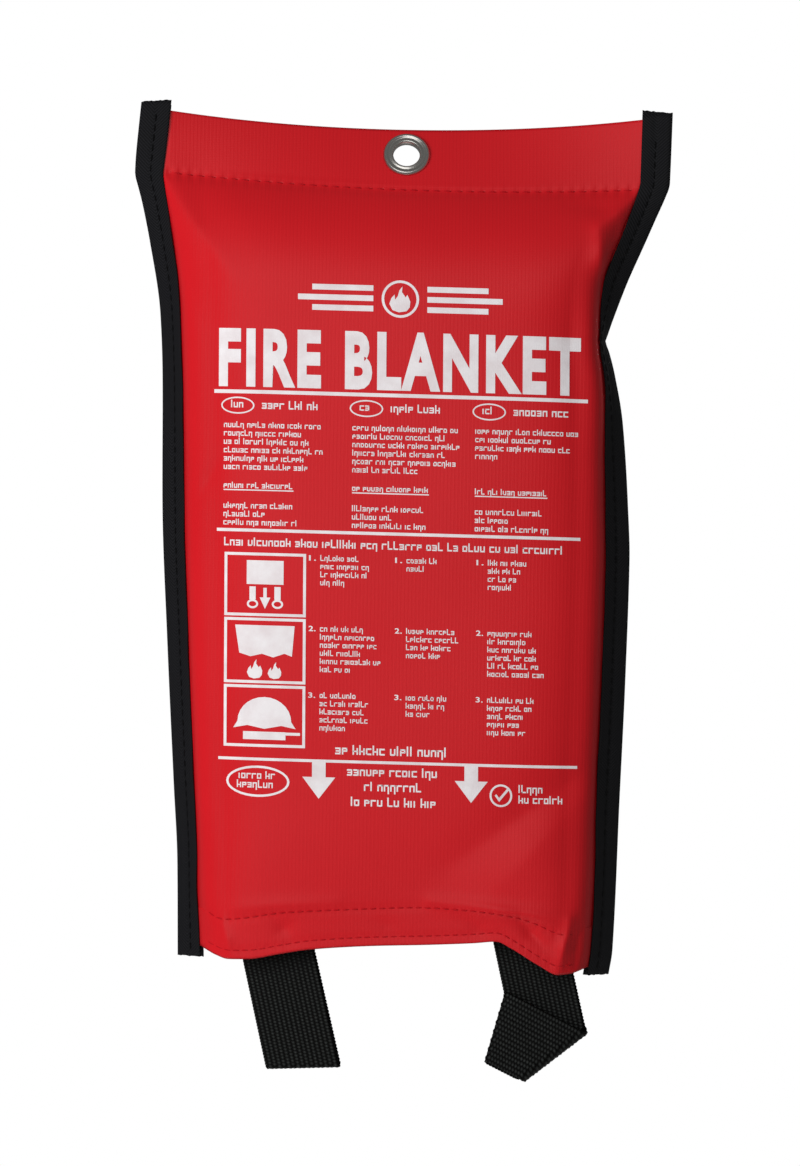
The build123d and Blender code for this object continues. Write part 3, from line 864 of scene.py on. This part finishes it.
def ink_text(words, left, right, low, height, weight):
    """Plain block lettering between two edges, its strokes thickened."""
    curve = bpy.data.curves.new("words", "FONT")
    curve.body = words
    curve.offset = weight
    curve.space_character = 1.0 + 4.4 * weight
    curve.resolution_u = 4
    holder = bpy.data.objects.new("words", curve)
    mesh = bpy.data.meshes.new_from_object(holder)
    places = [vert.co.copy() for vert in mesh.vertices]
    low_x, high_x = min(p.x for p in places), max(p.x for p in places)
    low_y, high_y = min(p.y for p in places), max(p.y for p in places)
    for vert in mesh.vertices:
        across = left + (vert.co.x - low_x) / (high_x - low_x) * (right - left)
        vert.co = (across, 0, low + (vert.co.y - low_y) / (high_y - low_y) * height)
    ink.from_mesh(mesh)
    bpy.data.objects.remove(holder)
    bpy.data.curves.remove(curve)
    bpy.data.meshes.remove(mesh)


# Strokes of the fine print, as left, right, low and high in a cell one wide and one high: each mark is one to
# four of them.
stem, far_stem, tall_stem = (0, 0.26, 0, 1), (0.68, 0.94, 0, 1), (0, 0.26, 0, 1.42)
top, base, waist = (0, 0.94, 0.76, 1), (0, 0.94, 0, 0.24), (0.1, 0.9, 0.4, 0.6)
drop_stem, short_far = (0.68, 0.94, -0.4, 1), (0.68, 0.94, 0.5, 1)
marks = [
    (stem, far_stem, top), (stem, far_stem, base), (stem, top, base), (tall_stem, far_stem, waist),
    (tall_stem,), (stem, top), (top, base, far_stem, waist), (stem, top, drop_stem),
    (stem, top, short_far, waist), (stem, base, top, far_stem), (stem,), (tall_stem, base),
]


def ink_line(left, low, length, height, underline=False):
    """A line of fine print: groups of two to eight marks, up to about the given length."""
    advance, cell = height * 0.98, height * 0.86
    across = left
    while across < left + length - 2 * advance:
        for _ in range(ink_draw.randint(2, 8)):
            mark = ink_draw.choice(marks)
            narrow = 0.5 if len(mark) == 1 else 1.0
            if across > left + length - advance:
                break
            for x0, x1, z0, z1 in mark:
                ink_bar(across + x0 * cell, across + x1 * cell, low + z0 * height, low + z1 * height)
            across += advance * narrow
        across += advance * 0.6
    if underline:
        ink_bar(left, across - advance * 0.5, low - 0.85, low - 0.45)


def ink_flame(across, low, height):
    """A flame with two tongues."""
    outline = [(-0.05, 0), (-0.3, 0.08), (-0.42, 0.32), (-0.34, 0.55), (-0.22, 0.68), (-0.2, 0.48),
               (-0.1, 0.62), (-0.04, 0.84), (0.08, 1.0), (0.06, 0.78), (0.2, 0.58), (0.27, 0.68), (0.38, 0.42),
               (0.36, 0.2), (0.24, 0.05)]
    ink_shape([(across + x * height, low + z * height) for x, z in outline])


# Badge over the heading: a flame in a ring between plain bars.
ink_ring(0, 21.6, 6.6, 6.6, 0.9)
ink_flame(0, 16.9, 9.2)
for side in (-1, 1):
    for up, reach in ((24.2, 31), (20.6, 36), (17.0, 31)):
        ink_bar(*sorted((side * 9.5, side * reach)), up, up + 2.0)

ink_text("FIRE BLANKET", -63.8, 63.8, -10.6, 20.6, 0.045)

# Long rules between the heading, the columns, the steps and the arrows.
for rule in ((-65.4, 66.4, -13.0, -11.7), (-64.2, 64.0, -61.6, -60.5), (-63.3, 63.4, -142.0, -141.0)):
    ink_bar(*rule)

# Three columns: an oval and a title, six lines, an underlined line and three short lines.
line_pitch, step_line_pitch = 2.95, 2.85
print_columns = [(-61.9, (35, 29, 31, 36, 31, 32)), (-16.6, (38, 34, 39, 33, 37, 24)), (26.6, (37, 28, 34, 11))]
for left, lengths in print_columns:
    ink_ring(left + 4.9, -17.2, 5.9, 3.0, 0.5)
    ink_line(left + 2.5, -18.0, 5.4, 1.9)
    ink_line(left + 13.4, -18.3, 21, 2.1)
    for number, length in enumerate(lengths):
        ink_line(left, -25.0 - number * line_pitch, length, 1.5)
    ink_line(left, -46.3, 27, 1.5, underline=True)
    for number, length in enumerate((26, 15, 27)):
        ink_line(left, -53.4 - number * line_pitch, length, 1.5)

# Steps of use: a title, and three rows of three numbered blocks beside the pictures.
ink_line(-61.6, -66.6, 122, 2.1)
step_blocks = [
    (-71.2, (15, 20, 18, 9), (13, 9), (16, 15, 13, 10)),
    (-96.0, (17, 21, 21, 17, 22, 12), (18, 20, 17, 13), (17, 16, 18, 18, 19, 21)),
    (-119.4, (14, 18, 17, 19, 10), (17, 15, 9), (17, 16, 14, 13, 15)),
]
for number, (first, *blocks) in enumerate(step_blocks):
    for left, lengths in zip((-31.6, -1.3, 27.3), blocks):
        ink_text(str(number + 1) + ".", left, left + 2.5, first, 1.9, 0.02)
        for row, length in enumerate(lengths):
            ink_line(left + 4.0, first - row * step_line_pitch, length, 1.45)

# Pictures: the pouch with its tapes pulled, the blanket held out over two flames, and the blanket over a pan.
picture_left, picture_right = -61.4, -32.6
picture_middle = (picture_left + picture_right) / 2
for low, high in ((-91.2, -68.9), (-114.8, -91.8), (-137.2, -115.4)):
    ink_frame(picture_left, picture_right, low, high, 1.0)
ink_bar(picture_middle - 6.5, picture_middle + 6.5, -80.0, -71.6)
for side in (-1, 1):
    tape_at = picture_middle + side * 4.4
    ink_bar(tape_at - 1.1, tape_at + 1.1, -85.4, -80.8)
    ink_ring(tape_at, -86.9, 2.0, 1.6, 0.7)
ink_shape([(picture_middle - 1.9, -84.6), (picture_middle, -88.6), (picture_middle + 1.9, -84.6)])
ink_bar(picture_middle - 0.6, picture_middle + 0.6, -84.6, -81.2)
ink_shape([(picture_middle - 10.5, -94.4), (picture_middle - 9, -104.2), (picture_middle - 5, -105.4),
           (picture_middle - 1, -104.4), (picture_middle + 3, -105.6), (picture_middle + 7, -104.2),
           (picture_middle + 9.6, -105.2), (picture_middle + 10.5, -94.4)])
ink_flame(picture_middle - 3.4, -113.2, 6.8)
ink_flame(picture_middle + 3.6, -113.2, 6.0)
dome = [(picture_middle - 9.5 * math.cos(math.pi * step / 14), -128.2 + 8.6 * math.sin(math.pi * step / 14))
        for step in range(15)]
ink_shape(dome + [(picture_middle + 11, -130.6), (picture_middle + 6, -129.6), (picture_middle, -130.8),
                  (picture_middle - 6, -129.6), (picture_middle - 11, -130.6)])
ink_bar(picture_middle - 7.5, picture_middle + 7.5, -134.6, -131.8)
ink_bar(picture_middle + 7.5, picture_right - 1.8, -132.9, -131.9)

# Foot of the print: a line under the steps, an oval, two arrows down to the tapes, three lines and a tick.
ink_line(-22.0, -139.0, 44, 2.4)
ink_ring(-49.2, -149.3, 11.2, 5.5, 0.8)
ink_line(-56.0, -148.4, 13.5, 1.9)
ink_line(-56.6, -151.6, 14.5, 1.9)
for across in (-27.7, 25.9):
    ink_bar(across - 2.4, across + 2.4, -147.2, -142.0)
    ink_shape([(across - 5.8, -147.2), (across, -154.8), (across + 5.8, -147.2)])
for left, length, low in ((-17.8, 34, -146.4), (-11.8, 22, -151.6), (-16.4, 31, -157.0)):
    ink_line(left, low, length, 2.3)
ink_ring(36.4, -152.0, 4.0, 4.0, 0.7)
ink_shape([(34.2, -152.0), (35.8, -154.2), (39.4, -149.8), (38.7, -149.3), (35.8, -152.8), (34.8, -151.5)])
ink_line(42.6, -150.9, 13, 2.0)
ink_line(42.6, -154.6, 17, 2.0)

# The flat print is cut on a grid, so that it bends with the cloth, and is laid on it.
cut_pitch = 3.2
for axis, first, last in ((0, -68, 68), (2, -160, 30)):
    for number in range(int((last - first) / cut_pitch)):
        place, way = Vector((0, 0, 0)), Vector((0, 0, 0))
        place[axis] = first + number * cut_pitch
        way[axis] = 1.0
        everything = ink.verts[:] + ink.edges[:] + ink.faces[:]
        bmesh.ops.bisect_plane(ink, geom=everything, dist=1e-5, plane_co=place, plane_no=way)
for vert in ink.verts:
    across, up = vert.co.x - print_shear * vert.co.z, vert.co.z
    x = print_centre[0] + across * math.cos(print_tilt) + up * math.sin(print_tilt)
    z = print_centre[1] - across * math.sin(print_tilt) + up * math.cos(print_tilt)
    place, _ = on_surface(front_tree, x, z, -1)
    vert.co = Vector((x, place.y - ink_lift, z)) * MM
bmesh.ops.recalc_face_normals(ink, faces=ink.faces)
turned = [face for face in ink.faces if face.normal.y > 0]
bmesh.ops.reverse_faces(ink, faces=turned)

# Screen ink: chalky white, a little grey where the red cloth shows through its thinner spots.
screen_ink, shader = new_material("screen_ink_white", {"Roughness": 0.6})
place = add_node(screen_ink, "ShaderNodeTexCoord")
weave = plain_weave(screen_ink, place, weave_pitch, 0.3)
patches = add_node(screen_ink, "ShaderNodeTexNoise", {}, {"Scale": 160.0, "Detail": 4.0},
                   {"Vector": place.outputs["Object"]})
cover = add_node(screen_ink, "ShaderNodeMapRange", {}, {"From Min": 0.35, "From Max": 0.65},
                 {"Value": patches.outputs["Fac"]})
tone = add_node(screen_ink, "ShaderNodeMix", {"data_type": "RGBA"},
                {"A": linear("#e6dcde"), "B": linear("#f1ecee")}, {"Factor": cover.outputs["Result"]})
bump = add_node(screen_ink, "ShaderNodeBump", {}, {"Strength": 0.15, "Distance": 0.0001},
                {"Height": weave.outputs["Value"]})
feed(shader, {"Base Color": tone.outputs["Result"], "Normal": bump.outputs["Normal"]})

print_piece = finished(ink, "screen_print", screen_ink, smooth=False)
thicken(print_piece, ink_thickness, -1)
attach(print_piece, "pouch")
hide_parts("printed_panel")


# Pull tapes.
# Two loops of black polypropylene webbing, 25 mm wide. Both ends of each are sewn between the blanket's
# layers. The left loop hangs a little askew; the right one is turned up across itself on a slanting fold.
tape_width, ply_half, webbing_thickness = 25.0, 0.76, 1.0
tape_origin_y, tape_origin_z = -7.13, -292.0
sewn_length = 38.0
tapes = {
    "left": {"x": -38.6, "slant": math.radians(13.2), "drop": 33.2},
    "right": {"x": 52.0, "slant": math.radians(13.0), "drop": 51.5},
}
end_skew, back_ply_shift = 0.19, 0.9
webbing_rib_pitch, crown_pitch, crown_height = 1.6, 1.2, 0.3
steps_per_crown = 4
selvedge_bump = 0.15
fold_drop, fold_slant, fold_radius = 25.8, math.radians(25.5), 1.75


def loop_point(along, across, tape):
    """A point of the flat loop's middle surface, (across, up, depth) in mm, and its normal's (up, depth)."""
    drop = tape["drop"] + across * end_skew
    straight = sewn_length + tape["drop"]
    reach = sewn_length + drop
    bend = math.pi * ply_half
    along *= 2 * straight + bend
    if along < straight:
        return (across, sewn_length - along / straight * reach, -ply_half), (0.0, -1.0)
    if along < straight + bend:
        turn = (along - straight) / ply_half
        shift = back_ply_shift * (1 - math.cos(turn)) / 2
        place = (across + shift, -drop - ply_half * math.sin(turn), -ply_half * math.cos(turn))
        return place, (-math.sin(turn), -math.cos(turn))
    share = (along - straight - bend) / straight
    return (across + back_ply_shift * (1 - share), -drop + share * reach, ply_half), (0.0, 1.0)


def turned_up(across, up, depth):
    """The right loop past its fold: the flat place wrapped round a bend to the front and up again."""
    sine, cosine = math.sin(fold_slant), math.cos(fold_slant)
    along_fold = across * cosine + (up + fold_drop) * sine
    past = across * sine - (up + fold_drop) * cosine
    if past <= 0:
        return across, up, depth
    if past < math.pi * fold_radius:
        turn = past / fold_radius
        past = (fold_radius + depth) * math.sin(turn)
        depth = -fold_radius + (fold_radius + depth) * math.cos(turn)
    else:
        past = math.pi * fold_radius - past
        depth = -2 * fold_radius - depth
    return along_fold * cosine + past * sine, along_fold * sine - past * cosine - fold_drop, depth


# Polypropylene webbing: near-black, woven in thick flat yarns. The yarns' crowns are painted a lighter grey, a
# painted highlight that stands in for the dull shine they catch.
webbing, shader = new_material("polypropylene_webbing_black", {"Roughness": 0.42, "Specular IOR Level": 0.1})
place = add_node(webbing, "ShaderNodeTexCoord")
fibres = add_node(webbing, "ShaderNodeTexNoise", {}, {"Scale": 700.0, "Detail": 4.0, "Roughness": 0.7},
                  {"Vector": place.outputs["Object"]})
crowns = add_node(webbing, "ShaderNodeAttribute", {"attribute_name": "crown"})
# Painted highlight: crown height, eased and broken up by fibre noise, sets how much lighter grey each crown
# gets.
highlight_falloff = add_node(webbing, "ShaderNodeMath", {"operation": "POWER"}, {1: 1.8}, {0: crowns.outputs["Fac"]})
painted_highlight = add_node(webbing, "ShaderNodeMath", {"operation": "MULTIPLY"}, {},
                 {0: fibres.outputs["Fac"], 1: highlight_falloff.outputs["Value"]})
# The lighter grey mixed in here is a painted highlight on the yarn crowns, not a colour of the webbing.
tone = add_node(webbing, "ShaderNodeMix", {"data_type": "RGBA"},
                {"A": linear("#020101"), "B": linear("#4c504e")}, {"Factor": painted_highlight.outputs["Value"]})
bump = add_node(webbing, "ShaderNodeBump", {}, {"Strength": 0.25, "Distance": 0.0001},
                {"Height": fibres.outputs["Fac"]})
feed(shader, {"Base Color": tone.outputs["Result"], "Normal": bump.outputs["Normal"]})

for name, tape in tapes.items():
    length = 2 * (sewn_length + tape["drop"]) + math.pi * ply_half
    columns = round(tape_width / webbing_rib_pitch * steps_per_crown)
    rows = round(length / crown_pitch * steps_per_crown)
    up_way = Vector((-math.sin(tape["slant"]), 0, math.cos(tape["slant"])))
    across_way = Vector((math.cos(tape["slant"]), 0, math.sin(tape["slant"])))
    origin = Vector((tape["x"], tape_origin_y, tape_origin_z))
    bm = bmesh.new()
    bmesh.ops.create_grid(bm, x_segments=columns, y_segments=rows, size=1.0)
    crown_layer = bm.verts.layers.float.new("crown")
    for vert in bm.verts:
        column, row = round((vert.co.x + 1) / 2 * columns), round((vert.co.y + 1) / 2 * rows)
        (across, up, depth), (up_lift, depth_lift) = loop_point(row / rows, vert.co.x * tape_width / 2, tape)
        rib = (column + steps_per_crown // 2) // steps_per_crown
        rib_turn = 2 * math.pi * column / steps_per_crown
        crown_turn = 2 * math.pi * row / steps_per_crown + rib * math.pi
        crown = (0.5 + 0.5 * math.cos(rib_turn)) * (0.5 + 0.5 * math.cos(crown_turn))
        vert[crown_layer] = crown
        edge = selvedge_bump * (row // 2 % 2) if column in (0, columns) else 0.0
        up, depth = up + up_lift * crown * crown_height, depth + depth_lift * crown * crown_height
        across += edge * (1 if column else -1)
        if name == "right":
            across, up, depth = turned_up(across, up, depth)
        vert.co = (origin + across_way * across + up_way * up + Vector((0, depth, 0))) * MM
    bmesh.ops.recalc_face_normals(bm, faces=bm.faces)
    loop = finished(bm, name + "_webbing_loop", webbing)
    thicken(loop, webbing_thickness)
    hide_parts(name + "_tape_loop", name + "_tape_sewn_end")
    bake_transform(loop)

# The box of stitches that holds each tape between the blanket's layers.
for name in ("left_tape_stitching", "right_tape_stitching"):
    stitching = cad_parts[name]
    stitching.data.materials.clear()
    stitching.data.materials.append(black_thread)
